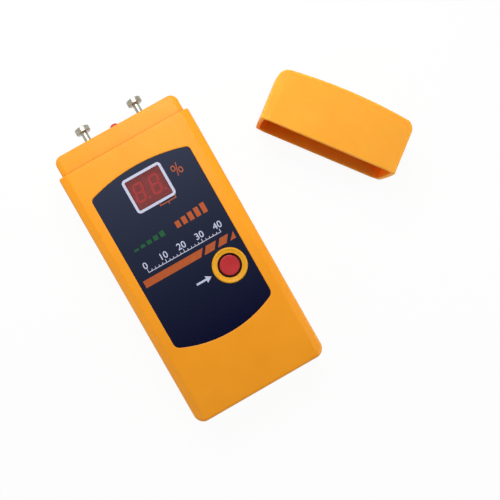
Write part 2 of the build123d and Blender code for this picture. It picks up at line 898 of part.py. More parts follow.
def make_battery():
    """Block battery lying across the housing, and its two snap terminals."""
    low_y = battery_y - battery_width / 2
    high_y = battery_y + battery_width / 2
    high_z = battery_floor + battery_depth
    case = block(battery_left, battery_right, low_y, high_y, battery_floor, high_z)
    case = fillet(case.edges().filter_by(Axis.X), battery_edge)
    case = chamfer(case.faces().sort_by(Axis.X)[-1].edges(), battery_end_edge)
    terminals = []
    for y in terminal_ys():
        stud = Rot(0, 90, 0) * Cylinder(terminal_radius, terminal_height)
        stud = chamfer(stud.faces().sort_by(Axis.X)[-1].edges(), terminal_lip)
        terminals.append(Pos(battery_right + terminal_height / 2, y, battery_middle) * stud)
    return case, Compound(children=terminals)


def terminal_ys():
    """The two terminals' places across the battery's end."""
    return (battery_y - terminal_pitch / 2, battery_y + terminal_pitch / 2)


def make_connector():
    """Snap connector over the battery's terminals."""
    half_length = connector_length / 2
    half_width = connector_width / 2
    plate = block(
        connector_left,
        connector_left + connector_thickness,
        battery_y - half_length,
        battery_y + half_length,
        battery_middle - half_width,
        battery_middle + half_width,
    )
    plate = fillet(plate.edges().filter_by(Axis.X), connector_edge)
    depth = terminal_height + terminal_socket_gap
    for y in terminal_ys():
        socket = Rot(0, 90, 0) * Cylinder(terminal_radius + terminal_socket_gap, depth)
        plate -= Pos(battery_right + depth / 2, y, battery_middle) * socket
    return plate


def make_door():
    """Battery door: plate with side tongues, end lip, latch tab and a ribbed finger grip."""
    half = door_half_width
    inner = door_half_width - door_wall
    tongue_low = wall + door_slot_gap
    profile = Polyline(
        (-half, 0),
        (half, 0),
        (half, tongue_low),
        (door_side, tongue_low),
        (door_side, door_height),
        (inner, door_height),
        (inner, door_plate),
        (-inner, door_plate),
        (-inner, door_height),
        (-door_side, door_height),
        (-door_side, tongue_low),
        (-half, tongue_low),
        close=True,
    )
    end = door_inner_end - door_gap
    face = make_face(Plane(origin=(0, foot, 0), x_dir=(1, 0, 0), z_dir=(0, -1, 0)) * profile)
    door = extrude(face, -(end - foot))
    door += block(-door_side, door_side, foot, foot + door_end_lip, 0, door_height)
    latch = door_latch_half_width
    door += block(-latch, latch, end - 2 * wall, door_inner_end + door_latch_reach, tongue_low, door_height)
    door += block(-latch, latch, end - 2 * wall, end, door_plate / 2, door_height)
    grip_y = foot + (end - foot) / 4
    grip = Pos(0, grip_y) * SlotOverall(grip_length, grip_width)
    door -= slab(grip, 0, grip_depth)
    spacing = grip_width / (grip_rib_count + 1)
    ribs = Part()
    for index in range(grip_rib_count):
        y = grip_y - grip_width / 2 + (index + 1) * spacing
        half_rib = grip_rib / 2
        ribs += block(-grip_length / 2, grip_length / 2, y - half_rib, y + half_rib, 0, grip_depth)
    door += ribs & slab(grip, 0, grip_depth)
    return door & housing_solid(0, True)


def make_pad():
    """Foam pad on the inside of the door."""
    centre_x = battery_left + battery_length / 2
    half_length = pad_length / 2
    half_width = pad_width / 2
    return block(
        centre_x - half_length,
        centre_x + half_length,
        battery_y - half_width,
        battery_y + half_width,
        door_plate,
        door_height,
    )


def make_case_screws():
    """Four countersunk case screws, driven from the back."""
    screws = []
    for x, y in case_screw_spots:
        seat = case_screw_sink + case_screw_head_height
        screw = post(x, y, case_screw_sink, seat, case_screw_head_radius)
        screw += post(x, y, seat, middle + case_screw_bite, case_screw_radius)
        screw -= cross_recess(x, y, case_screw_sink, case_screw_head_radius)
        screws.append(screw)
    return Compound(children=screws)


def make_board_screws():
    """Four small screws that hold the board to the front shell's bosses."""
    screws = []
    for x, y in board_screw_spots:
        low = board_bottom - board_screw_head_height
        screw = post(x, y, low, board_bottom, board_screw_head_radius)
        screw += post(x, y, board_bottom, board_top + board_screw_bite, board_screw_radius)
        screw -= cross_recess(x, y, low, board_screw_head_radius)
        screws.append(screw)
    return Compound(children=screws)


def cross_recess(x, y, head_z, head_radius):
    """Cross-shaped driver recess in the underside of a screw head."""
    reach = recess_reach * head_radius
    arm = recess_arm * head_radius
    depth = recess_depth * head_radius
    across = block(x - reach, x + reach, y - arm, y + arm, head_z, head_z + depth)
    along = block(x - arm, x + arm, y - reach, y + reach, head_z, head_z + depth)
    return across + along


def make_lead(points, radius):
    """Round lead of straight runs joined by tangent arcs as large as the runs allow."""
    points = [Vector(*point) for point in points]
    radii = []
    for before, corner, after in zip(points, points[1:], points[2:]):
        run_in = corner - before
        run_out = after - corner
        half_turn = math.radians(run_in.get_angle(run_out)) / 2
        shorter = min(run_in.length, run_out.length)
        radii.append(bend_share * shorter / math.tan(half_turn))
    path = FilletPolyline(*points, radius=radii)
    start = Plane(origin=points[0], z_dir=points[1] - points[0])
    return sweep(start * Circle(radius), path=path, transition=Transition.ROUND)


def make_battery_lead(index):
    """Lead from the snap connector over the partition to the underside of the board."""
    side = battery_lead_spacing * index
    x = connector_left + connector_thickness / 2
    start_y = battery_y + connector_length / 2
    start_z = battery_middle + battery_lead_lift - side
    pad_x = battery_pad_x - index * battery_pad_spacing
    pad_y = board_low + battery_pad_from_end
    low_z = board_bottom - battery_lead_under_board - side / 2
    points = [
        (x, start_y, start_z),
        (x, partition_end + battery_lead_past_partition, start_z),
        (x - battery_lead_side - side / 2, board_low - battery_lead_before_board, low_z),
        (pad_x, pad_y, board_bottom - battery_lead_under_board),
        (pad_x, pad_y, board_bottom),
    ]
    return make_lead(points, battery_lead_radius)


def make_electrode_lead(side):
    """Lead from one electrode's solder tag to the board."""
    x = side * electrode_offset
    start_y = collar_wall_inside - lug_thickness
    start_z = middle + lug_tail_rise - electrode_lead_below_tip
    bend_y = start_y - electrode_lead_straight
    pad_y = board_high - electrode_pad_from_end
    points = [
        (x, start_y, start_z),
        (x, bend_y, start_z),
        (x + side * electrode_lead_drift, bend_y - electrode_lead_run, start_z + electrode_lead_sag),
        (x, pad_y, board_top + electrode_lead_rise),
        (x, pad_y, board_top),
    ]
    return make_lead(points, electrode_lead_radius)


outer = housing_solid(0, True)
inner = housing_solid(wall, False)
test_switch_body, test_switch_plunger = make_test_switch()
check_switch_body, check_switch_plunger = make_check_switch()
trimmer_body, trimmer_rotor = make_trimmer()
battery_case, battery_terminals = make_battery()

parts = {
    "front_shell": make_front_shell(outer, inner),
    "back_shell": make_back_shell(outer, inner),
    "protective_cap": make_cap(),
    "front_label": make_label(),
    "display_window": make_window(),
    "test_button": make_test_button(),
    "test_switch_body": test_switch_body,
    "test_switch_plunger": test_switch_plunger,
    "check_button": make_check_button(),
    "check_switch_body": check_switch_body,
    "check_switch_plunger": check_switch_plunger,
    "electrode_left": make_electrode(-electrode_offset),
    "electrode_right": make_electrode(electrode_offset),
    "electrode_nuts": Compound(children=[make_nut(-electrode_offset), make_nut(electrode_offset)]),
    "solder_tags": Compound(children=[make_lug(-electrode_offset), make_lug(electrode_offset)]),
    "electrode_lead_left": make_electrode_lead(-1),
    "electrode_lead_right": make_electrode_lead(1),
    "circuit_board": make_board(),
    "display_module": block(
        module_x - module_width / 2,
        module_x + module_width / 2,
        module_y - module_length / 2,
        module_y + module_length / 2,
        board_top,
        module_face,
    ),
    "display_segments": make_segments(),
    "control_chip": make_chip(chip_x, chip_y, chip_length, chip_pins_per_side),
    "amplifier_chip": make_chip(amplifier_x, amplifier_y, amplifier_length, amplifier_pins_per_side),
    "trimmer_body": trimmer_body,
    "trimmer_rotor": trimmer_rotor,
    "capacitors": make_capacitors(),
    "regulator": make_regulator(),
    "resistors": make_resistors(),
    "battery_case": battery_case,
    "battery_terminals": battery_terminals,
    "battery_connector": make_connector(),
    "battery_lead_red": make_battery_lead(0),
    "battery_lead_black": make_battery_lead(1),
    "battery_door": make_door(),
    "battery_pad": make_pad(),
    "case_screws": make_case_screws(),
    "board_screws": make_board_screws(),
}

for node, shape in parts.items():
    export_step(shape, os.path.join("parts", node + ".step"))
print(len(parts), "nodes written")
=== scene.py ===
"""Looks of the pin moisture meter: materials, printing, lights and camera round its solids.

Lengths are in metres. Places and sizes of the printing are in millimetres from the centre of the
meter, +X to the right and +Y towards the electrodes, and MM turns them into metres.
"""

import json
import math

import bmesh
import bpy
from mathutils import Matrix, Vector


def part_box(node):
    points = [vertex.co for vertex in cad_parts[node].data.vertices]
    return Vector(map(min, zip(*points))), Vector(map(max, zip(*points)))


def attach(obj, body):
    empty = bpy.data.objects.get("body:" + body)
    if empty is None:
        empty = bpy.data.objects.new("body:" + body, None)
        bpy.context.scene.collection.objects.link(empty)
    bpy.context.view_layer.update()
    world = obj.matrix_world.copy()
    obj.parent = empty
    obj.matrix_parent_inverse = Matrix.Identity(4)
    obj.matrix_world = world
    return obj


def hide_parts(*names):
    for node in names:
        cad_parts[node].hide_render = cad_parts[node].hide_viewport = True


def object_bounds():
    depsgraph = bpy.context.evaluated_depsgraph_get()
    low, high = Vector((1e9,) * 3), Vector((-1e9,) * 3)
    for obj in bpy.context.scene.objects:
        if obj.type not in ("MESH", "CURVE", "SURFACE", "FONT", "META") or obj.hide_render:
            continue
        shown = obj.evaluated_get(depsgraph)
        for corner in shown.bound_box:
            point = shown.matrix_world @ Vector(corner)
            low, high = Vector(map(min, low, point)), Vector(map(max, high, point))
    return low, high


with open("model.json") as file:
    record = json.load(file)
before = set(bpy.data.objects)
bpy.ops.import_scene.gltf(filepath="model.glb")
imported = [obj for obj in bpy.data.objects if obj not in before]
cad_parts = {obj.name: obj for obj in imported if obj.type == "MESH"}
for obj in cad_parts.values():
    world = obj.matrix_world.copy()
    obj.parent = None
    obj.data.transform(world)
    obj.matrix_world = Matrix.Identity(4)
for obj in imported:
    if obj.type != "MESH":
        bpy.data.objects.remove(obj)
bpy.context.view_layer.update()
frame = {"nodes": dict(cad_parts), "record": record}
nodes = frame["nodes"]

MM = 0.001

# Camera over the meter, turned and barely tilted, in metres and degrees
CAMERA_PLACE = (0.00554, 0.00280, 0.27366)
CAMERA_TILT = (-0.402, -1.903)
CAMERA_TURN = -29.606
CAMERA_LENS = 40.951
CAMERA_SENSOR = 36
CAMERA_SHIFT = 0.07
CAMERA_NEAR = 0.01

# Strength of the surroundings, and how white the floor and the sky look to the camera
WORLD_STRENGTH = 0.31
FLOOR_WHITE = 0.94
SKY_WHITE = 0.965
WHITE = (1, 1, 1, 1)

# Lamps: place, target and side in metres, and power in watts
LAMPS = {
    "key_lamp": ((0.05, 0.17, 0.22), (0.02, 0.03, 0.01), 0.18, 0.68),
    "right_lamp": ((0.40, -0.24, 0.11), (0.03, -0.02, 0.01), 0.3, 1.15),
    "left_lamp": ((-0.40, -0.05, 0.16), (0.0, -0.01, 0.01), 0.3, 0.45),
}

# Floor: half its side and its drop under the object in metres, and its surface
FLOOR_HALF = 3.0
FLOOR_DROP = 0.0001
FLOOR_COLOUR = (0.84, 0.84, 0.84, 1)
FLOOR_ROUGHNESS = 0.8
FLOOR_GLOSS = 0.1

# Colours of the housing, cap and label, as linear red, green and blue
ORANGE = (0.84, 0.308, 0.010)
ORANGE_DEEP = (0.81, 0.290, 0.007)
ORANGE_CAP = (0.92, 0.390, 0.045)
ORANGE_CAP_DEEP = (0.90, 0.372, 0.040)
# Painted shade on the ring round the test button, the same plastic as the housing
ORANGE_RING_SHADE = (0.74, 0.335, 0.008)
# Painted shade laid into hollows, such as the inside of the cap
ORANGE_HOLLOW_SHADE = (1.0, 0.23, 0.0)
# Painted shade along inner corners of the orange parts
CREASE_SHADE = (0.16, 0.05, 0.01)
RED = (0.43, 0.022, 0.026)
RED_DEEP = (0.31, 0.008, 0.012)
# Painted shade on the test button where the ring shelters it
CREASE_SHADE_RED = (0.03, 0.003, 0.003)
NAVY = (0.0008, 0.0015, 0.017)
# Painted sheen of the label towards the display
NAVY_SHEEN = (0.022, 0.028, 0.050)
NAVY_SPECK = (0.03, 0.036, 0.07)
LAVENDER = (0.50, 0.515, 0.65)
PRINT_ORANGE = (0.40, 0.084, 0.022)
PRINT_GREEN = (0.010, 0.085, 0.030)

# Colours of the smaller pieces; where there are two, the piece wanders between them
FILTER_RED = ((0.27, 0.053, 0.050), (0.23, 0.042, 0.040))
# Colour of the display's bars, which also sets their painted glow
SEGMENT_RED = ((0.85, 0.012, 0.035), (0.68, 0.008, 0.025))
NICKEL = ((0.40, 0.39, 0.33), (0.29, 0.27, 0.20))
STEEL = ((0.55, 0.55, 0.53), (0.38, 0.38, 0.37))
BATTERY_BODY = ((0.020, 0.028, 0.050), (0.030, 0.040, 0.065))
BATTERY_BAND = (0.60, 0.60, 0.58)
BOARD_MASK = (0.008, 0.085, 0.030)
BOARD_TRACK = (0.022, 0.19, 0.065)
BOARD_STAIN = (0.01, 0.06, 0.02)
FOAM = ((0.03, 0.03, 0.033), (0.09, 0.09, 0.095))

# Moulded pieces: paler and deeper colour, roughness, grain in waves per metre, depth of grain in metres
PLASTICS = {
    "black_plastic": ((0.02, 0.02, 0.022), (0.012, 0.012, 0.013), 0.45, 2600, 0.00003),
    "bright_red": ((0.55, 0.012, 0.012), (0.46, 0.01, 0.01), 0.3, 2600, 0.00003),
    "display_black": ((0.045, 0.016, 0.017), (0.03, 0.01, 0.011), 0.5, 2600, 0.00002),
    "chip_black": ((0.022, 0.022, 0.023), (0.014, 0.014, 0.015), 0.55, 3200, 0.00003),
    "trimmer_blue": ((0.02, 0.10, 0.42), (0.015, 0.07, 0.32), 0.4, 2600, 0.00002),
    "trimmer_white": ((0.74, 0.73, 0.69), (0.66, 0.65, 0.60), 0.45, 2600, 0.00002),
    "capacitor_sleeve": ((0.015, 0.022, 0.085), (0.01, 0.015, 0.06), 0.3, 1500, 0.00002),
    "resistor_coat": ((0.60, 0.42, 0.24), (0.52, 0.34, 0.18), 0.5, 2600, 0.00002),
    "wire_red": ((0.50, 0.015, 0.015), (0.40, 0.01, 0.01), 0.42, 1800, 0.00002),
    "wire_black": ((0.02, 0.02, 0.02), (0.013, 0.013, 0.013), 0.42, 1800, 0.00002),
}

# Colour of rubbed edges, partly wear and partly a painted highlight: gain and lift over the paler colour
EDGE_WEAR_AND_HIGHLIGHT_GAIN = 1.15
EDGE_WEAR_AND_HIGHLIGHT_LIFT = 0.05

# Nodes with a look of their own in place of the one that their record names
OWN_LOOKS = {"protective_cap": "cap_plastic", "check_button": "bright_red"}

# Reach of the painted shade: of the redder hollows, of the dark inner corners and of the shelter round the
# button, in metres
HOLLOW_SHADE_REACH = 0.06
CREASE_SHADE_REACH = 0.0012
SHELTER_SHADE_REACH = 0.003

# Openness at which the painted shade of a hollow starts to redden it and reddens it fully, and at which the
# painted shade of a corner is darkest
HOLLOW_SHADE_OPEN = 0.48
HOLLOW_SHADE_SHUT = 0.25
CREASE_SHADE_SHUT = 0.4
OPENNESS_SAMPLES = 8

# Ring round the test button, painted darker as shade: its radius and the blur of its rim, in metres
RING_REACH = 0.0081
RING_BLUR = 0.0001

# How far red, green and blue travel in the cap's wall, in metres
GLOW_RADIUS = (0.006, 0.0024, 0.0003)

# Bare bands of the battery: width and blur of their inner edge, in metres
BAND_WIDTH = 0.0052
BAND_BLUR = 0.0003

# Printing on the label, in millimetres: how deep it sits and how far it rises
PRINT_SINK = 0.005
PRINT_RISE = 0.015

# Pale line round the display window
FRAME_LINE = 1.2
FRAME_GAP = 0.15
FRAME_CORNER = 1.7

# Percent sign: centres of its rings, their radii and line, and its leaning stroke
PERCENT_RINGS = ((13.45, 37.1), (16.25, 35.2))
PERCENT_RADII = (1.05, 1.4)
PERCENT_LINE = 0.4
PERCENT_STROKE_LEFT = 13.85
PERCENT_STROKE_LOW = 33.3
PERCENT_STROKE_TOP = 39.0
PERCENT_LEAN = 1.6

# Bracket under the display
BRACKET_LEFT = 0.7
BRACKET_RIGHT = 8.7
BRACKET_BASE = 25.5
BRACKET_TOP = 27.0
BRACKET_LINE = 0.45
BRACKET_STEM_LEFT = 4.5
BRACKET_STEM_LOW = 24.6

# Level bars: left edge of each group with its ink, then what both groups share
BAR_GROUPS = (("print_bars_green", -19.0, "ink_green"), ("print_bars_orange", 2.3, "ink_orange"))
BARS_IN_GROUP = 5
BAR_LOW = 13.5
BAR_PITCH = 3.3
BAR_WIDTH = 2.2
BAR_FIRST_HEIGHT = 1.0
BAR_GROWTH = 0.41

# Scale: its ends, line and ticks, and the numbers over them
SCALE_LEFT = -18.0
SCALE_RIGHT = 18.0
SCALE_BASE = 2.9
SCALE_STEPS = 20
SCALE_STEPS_PER_NUMBER = 5
SCALE_HALF_LINE = 0.15
TICK_HALF_WIDTH = 0.14
TICK_TALL = 1.5
TICK_SHORT = 0.9
NUMBER_STEP = 10
NUMBER_LIFT = 1.9
NUMBER_HEIGHT = 3.1
NUMBER_SIZE_PER_HEIGHT = 1.35
NUMBER_THICKEN = 0.04

# Stripe: lower and upper edge, then each block's corners along them from the low left round
STRIPE_LOW = -2.6
STRIPE_TOP = 0.7
STRIPE_BLOCKS = ((-22.3, 5.2, 7.6, -22.3), (6.8, 11.8, 14.2, 9.2), (13.6, 17.9, 20.3, 16.1))
STRIPE_TIP_LEFT = 19.8
STRIPE_TIP_RIGHT = 22.7
STRIPE_TIP_DROP = 0.1

# Arrow that points at the test button
ARROW_TAIL = -2.6
ARROW_NECK = 2.2
ARROW_TIP = 4.8
ARROW_MIDDLE = -12.15
ARROW_HALF_SHAFT = 0.45
ARROW_HALF_HEAD = 1.65

# Test button, in millimetres
BUTTON_STEM_RADIUS = 2.2
BUTTON_FACE_RADIUS = 4.75
BUTTON_ROLL = 0.8
BUTTON_DISH = 0.12

# Electrodes, in millimetres
NECK_RADIUS = 1.5
NECK_LENGTH = 6.2
STUD_RADIUS = 1.25
HEAD_LENGTH = 2.5
HEAD_ROLL = 0.35

# Slack for finding the vertices of the window's top and of the button's rim, in metres
WINDOW_TOP_SLACK = 0.0001
RIM_SLACK = 0.00005

# Faces round a turned piece, and the angle in degrees up to which its shading is smooth
TURNED_FACES = 96
SMOOTH_ANGLE = 35


def add_object(name, data):
    """Object in the scene that shows a mesh, curve, lamp or camera."""
    made = bpy.data.objects.new(name, data)
    bpy.context.scene.collection.objects.link(made)
    return made


# Nodes that the materials are built of


def new_material(name):
    """Material with one principled shader, and the tools to build on it."""
    material = bpy.data.materials.new(name)
    material.use_nodes = True
    tree = material.node_tree
    return material, tree, tree.nodes["Principled BSDF"]


def object_place(tree):
    """Place on the object itself, in metres."""
    return tree.nodes.new("ShaderNodeTexCoord").outputs["Object"]


def noise(tree, waves, detail=3, roughness=0.55):
    """Noise value over the object, with its scale in waves per metre."""
    texture = tree.nodes.new("ShaderNodeTexNoise")
    texture.inputs["Scale"].default_value = waves
    texture.inputs["Detail"].default_value = detail
    texture.inputs["Roughness"].default_value = roughness
    tree.links.new(object_place(tree), texture.inputs["Vector"])
    return texture.outputs["Fac"]


def ranged(tree, value, low, high, to_low, to_high):
    """Value carried from one range to another, held at the ends."""
    node = tree.nodes.new("ShaderNodeMapRange")
    limits = {"From Min": low, "From Max": high, "To Min": to_low, "To Max": to_high}
    for socket, number in limits.items():
        node.inputs[socket].default_value = number
    tree.links.new(value, node.inputs["Value"])
    return node.outputs["Result"]


def varied(tree, waves, to_low, to_high, low=0.3, high=0.7, detail=3):
    """Value that wanders over the object between two limits, in patches of so many waves per metre."""
    return ranged(tree, noise(tree, waves, detail), low, high, to_low, to_high)


def maths(tree, operation, first, second=None):
    """Result of an operation on a socket, and on a second socket or number if it needs one."""
    node = tree.nodes.new("ShaderNodeMath")
    node.operation = operation
    tree.links.new(first, node.inputs[0])
    if isinstance(second, (int, float)):
        node.inputs[1].default_value = second
    elif second is not None:
        tree.links.new(second, node.inputs[1])
    return node.outputs[0]


def blend_colours(tree, share, first, second):
    """Mix of two colours, each a triple or a socket, by a share from 0 to 1."""
    node = tree.nodes.new("ShaderNodeMix")
    node.data_type = "RGBA"
    tree.links.new(share, node.inputs["Factor"])
    for socket, colour in ((node.inputs[6], first), (node.inputs[7], second)):
        if isinstance(colour, tuple):
            socket.default_value = (*colour, 1)
        else:
            tree.links.new(colour, socket)
    return node.outputs[2]


def soft_edges(tree, radius):
    """Normal rounded over the edges, and a mask that is 1 on them."""
    bevel = tree.nodes.new("ShaderNodeBevel")
    bevel.samples = 6
    bevel.inputs["Radius"].default_value = radius
    geometry = tree.nodes.new("ShaderNodeNewGeometry")
    agreement = tree.nodes.new("ShaderNodeVectorMath")
    agreement.operation = "DOT_PRODUCT"
    tree.links.new(bevel.outputs["Normal"], agreement.inputs[0])
    tree.links.new(geometry.outputs["Normal"], agreement.inputs[1])
    on_edge = ranged(tree, agreement.outputs["Value"], low=0.985, high=0.86, to_low=0, to_high=1)
    return bevel.outputs["Normal"], on_edge


def openness(tree, reach):
    """How open a place is to its surroundings within a reach in metres, from 0 to 1."""
    shelter = tree.nodes.new("ShaderNodeAmbientOcclusion")
    shelter.samples = OPENNESS_SAMPLES
    shelter.inputs["Distance"].default_value = reach
    return shelter.outputs["AO"]


def recess_mask(tree, reach):
    """Mask of painted shade that is 1 deep inside a hollow and 0 on open faces."""
    return ranged(tree, openness(tree, reach), HOLLOW_SHADE_OPEN, HOLLOW_SHADE_SHUT, 0, 1)


def darkened_crease(tree, colour, dark, reach, strength):
    """Colour with painted shade darkening it along inner corners, within a reach in metres."""
    corner = ranged(tree, openness(tree, reach), 1.0, CREASE_SHADE_SHUT, 0, strength)
    return blend_colours(tree, corner, colour, dark)


def ring_mask(tree):
    """Mask of the painted shade on the ring round the test button, 1 on the ring."""
    low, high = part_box("test_button")
    centre = (low + high) / 2
    level = tree.nodes.new("ShaderNodeVectorMath")
    level.operation = "MULTIPLY"
    level.inputs[1].default_value = (1, 1, 0)
    tree.links.new(object_place(tree), level.inputs[0])
    away = tree.nodes.new("ShaderNodeVectorMath")
    away.operation = "DISTANCE"
    away.inputs[1].default_value = (centre.x, centre.y, 0)
    tree.links.new(level.outputs["Vector"], away.inputs[0])
    return ranged(tree, away.outputs["Value"], RING_REACH, RING_REACH - RING_BLUR, 0, 1)


def bump(tree, height, distance, strength=1.0, normal=None):
    """Normal raised by a height value over a distance in metres."""
    node = tree.nodes.new("ShaderNodeBump")
    node.inputs["Distance"].default_value = distance
    node.inputs["Strength"].default_value = strength
    tree.links.new(height, node.inputs["Height"])
    if normal is not None:
        tree.links.new(normal, node.inputs["Normal"])
    return node.outputs["Normal"]


# Materials


def moulded_plastic(name, pale, deep, roughness, grain, depth, edge=0.0003, wear_and_highlight=0.35, gloss=0.5):
    """Moulded plastic: mottled colour, fine surface grain and edges painted paler, partly as wear and partly
    as a painted highlight.
    """
    material, tree, shader = new_material(name)
    mottle = varied(tree, waves=60, to_low=0, to_high=1, low=0.35, high=0.65, detail=4)
    colour = blend_colours(tree, mottle, pale, deep)
    normal, on_edge = soft_edges(tree, edge)
    wear_and_highlight_share = varied(tree, waves=700, to_low=0.15, to_high=wear_and_highlight, low=0.4)
    # Edges painted paler: partly wear, partly a painted highlight
    wear_and_highlight_colour = tuple(min(1.0, value * EDGE_WEAR_AND_HIGHLIGHT_GAIN + EDGE_WEAR_AND_HIGHLIGHT_LIFT) for value in pale)
    skin = blend_colours(tree, maths(tree, "MULTIPLY", on_edge, wear_and_highlight_share), colour, wear_and_highlight_colour)
    tree.links.new(skin, shader.inputs["Base Color"])
    shine = varied(tree, waves=240, to_low=roughness - 0.04, to_high=roughness + 0.05, detail=2)
    tree.links.new(shine, shader.inputs["Roughness"])
    shader.inputs["Specular IOR Level"].default_value = gloss
    raised = bump(tree, noise(tree, grain, detail=2), depth, 0.6, normal)
    tree.links.new(raised, shader.inputs["Normal"])
    return material


def parts_of(material):
    """Node tree, shader and present colour of a material that is built on further."""
    tree = material.node_tree
    shader = tree.nodes["Principled BSDF"]
    return tree, shader, shader.inputs["Base Color"].links[0].from_socket


def red_button_plastic(name):
    """Red moulded plastic with painted shade, dark where the ring shelters it."""
    material = moulded_plastic(name, RED, RED_DEEP, roughness=0.4, grain=2600, depth=0.00003, gloss=0.25)
    tree, shader, skin = parts_of(material)
    # Painted shade where the ring shelters the button
    crease_shaded = darkened_crease(tree, skin, CREASE_SHADE_RED, SHELTER_SHADE_REACH, strength=1.0)
    tree.links.new(crease_shaded, shader.inputs["Base Color"])
    return material


def orange_plastic(name, pale, deep, edge=0.001, wear_and_highlight=0.2, gloss=0.25, glow=0.0, crease_shade_strength=0.7):
    """Orange moulded plastic with painted shade: redder in its hollows, darker on the ring round the test
    button and along inner corners; glow lets light through a thin wall.
    """
    material = moulded_plastic(
        name, pale, deep, roughness=0.42, grain=2200, depth=0.00003, edge=edge, wear_and_highlight=wear_and_highlight, gloss=gloss
    )
    tree, shader, skin = parts_of(material)
    # Painted shade: hollows turn deep orange where little light reaches them
    hollow_shaded = blend_colours(tree, recess_mask(tree, HOLLOW_SHADE_REACH), skin, ORANGE_HOLLOW_SHADE)
    # Painted shade: the ring round the test button is coloured darker
    ring_shaded = blend_colours(tree, ring_mask(tree), hollow_shaded, ORANGE_RING_SHADE)
    # Painted shade along inner corners
    crease_shaded = darkened_crease(tree, ring_shaded, CREASE_SHADE, CREASE_SHADE_REACH, crease_shade_strength)
    tree.links.new(crease_shaded, shader.inputs["Base Color"])
    shader.inputs["Subsurface Weight"].default_value = glow
    shader.inputs["Subsurface Radius"].default_value = GLOW_RADIUS
    shader.inputs["Subsurface Scale"].default_value = 1.0
    return material


def metal(name, pale, deep, roughness, edge=0.00015):
    """Plated or bare metal with a fine grain and dull patches."""
    material, tree, shader = new_material(name)
    cloud = varied(tree, waves=500, to_low=0, to_high=1, low=0.35)
    tree.links.new(blend_colours(tree, cloud, pale, deep), shader.inputs["Base Color"])
    shader.inputs["Metallic"].default_value = 1.0
    dull = varied(tree, waves=900, to_low=roughness - 0.06, to_high=roughness + 0.1)
    tree.links.new(dull, shader.inputs["Roughness"])
    normal, _ = soft_edges(tree, edge)
    grain = noise(tree, waves=4000, detail=2)
    raised = bump(tree, grain, distance=0.000004, strength=0.4, normal=normal)
    tree.links.new(raised, shader.inputs["Normal"])
    return material


def label_film(name):
    """Printed polyester film: deep navy with a satin grain, and a painted sheen that makes it paler towards
    the display.
    """
    material, tree, shader = new_material(name)
    split = tree.nodes.new("ShaderNodeSeparateXYZ")
    tree.links.new(object_place(tree), split.inputs["Vector"])
    low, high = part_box("front_label")
    # Painted sheen: the label turns paler along +Y, towards the display
    along = ranged(tree, split.outputs["Y"], low.y, high.y, 0, 1)
    shade = blend_colours(tree, along, NAVY, NAVY_SHEEN)
    speck = varied(tree, waves=1800, to_low=0, to_high=0.25, low=0.55, high=0.8, detail=2)
    tree.links.new(blend_colours(tree, speck, shade, NAVY_SPECK), shader.inputs["Base Color"])
    shader.inputs["Specular IOR Level"].default_value = 0.05
    tree.links.new(varied(tree, waves=90, to_low=0.36, to_high=0.46), shader.inputs["Roughness"])
    raised = bump(tree, noise(tree, waves=3500, detail=2), distance=0.00001, strength=0.4)
    tree.links.new(raised, shader.inputs["Normal"])
    return material


def ink(name, pale, deepening):
    """Screen-printed ink with a slightly uneven body, deepened to a share of its colour."""
    material, tree, shader = new_material(name)
    deep = tuple(deepening * value for value in pale)
    uneven = varied(tree, waves=900, to_low=0, to_high=1, high=0.75)
    tree.links.new(blend_colours(tree, uneven, pale, deep), shader.inputs["Base Color"])
    shader.inputs["Specular IOR Level"].default_value = 0.15
    tree.links.new(varied(tree, waves=500, to_low=0.4, to_high=0.5), shader.inputs["Roughness"])
    raised = bump(tree, noise(tree, waves=5000, detail=2), distance=0.000006, strength=0.4)
    tree.links.new(raised, shader.inputs["Normal"])
    return material


def red_filter(name):
    """Tinted plastic that lets the digits behind it show through."""
    material, tree, shader = new_material(name)
    cloud = varied(tree, waves=220, to_low=0, to_high=1)
    tree.links.new(blend_colours(tree, cloud, *FILTER_RED), shader.inputs["Base Color"])
    tree.links.new(varied(tree, waves=400, to_low=0.12, to_high=0.2), shader.inputs["Roughness"])
    shader.inputs["Alpha"].default_value = 0.55
    shader.inputs["Specular IOR Level"].default_value = 0.25
    normal, _ = soft_edges(tree, radius=0.0002)
    grain = noise(tree, waves=1500, detail=1)
    raised = bump(tree, grain, distance=0.000004, strength=0.3, normal=normal)
    tree.links.new(raised, shader.inputs["Normal"])
    return material


def lit_segment(name):
    """Diffused red bar of the display with a dim painted glow."""
    material, tree, shader = new_material(name)
    cloud = varied(tree, waves=1500, to_low=0, to_high=1)
    colour = blend_colours(tree, cloud, *SEGMENT_RED)
    tree.links.new(colour, shader.inputs["Base Color"])
    tree.links.new(colour, shader.inputs["Emission Color"])
    # Painted glow that makes the bars stand out behind the filter
    shader.inputs["Emission Strength"].default_value = 0.7
    tree.links.new(varied(tree, waves=900, to_low=0.3, to_high=0.45), shader.inputs["Roughness"])
    return material


def laminate(name):
    """Green circuit board: solder mask that shows the copper tracks under it."""
    material, tree, shader = new_material(name)
    tracks = tree.nodes.new("ShaderNodeTexBrick")
    tracks.inputs["Scale"].default_value = 190
    tracks.inputs["Mortar Size"].default_value = 0.09
    tree.links.new(object_place(tree), tracks.inputs["Vector"])
    mask = blend_colours(tree, tracks.outputs["Fac"], BOARD_MASK, BOARD_TRACK)
    cloud = varied(tree, waves=350, to_low=0, to_high=0.3)
    tree.links.new(blend_colours(tree, cloud, mask, BOARD_STAIN), shader.inputs["Base Color"])
    tree.links.new(varied(tree, waves=700, to_low=0.25, to_high=0.4), shader.inputs["Roughness"])
    raised = bump(tree, tracks.outputs["Fac"], distance=0.00003, strength=0.6)
    tree.links.new(raised, shader.inputs["Normal"])
    return material


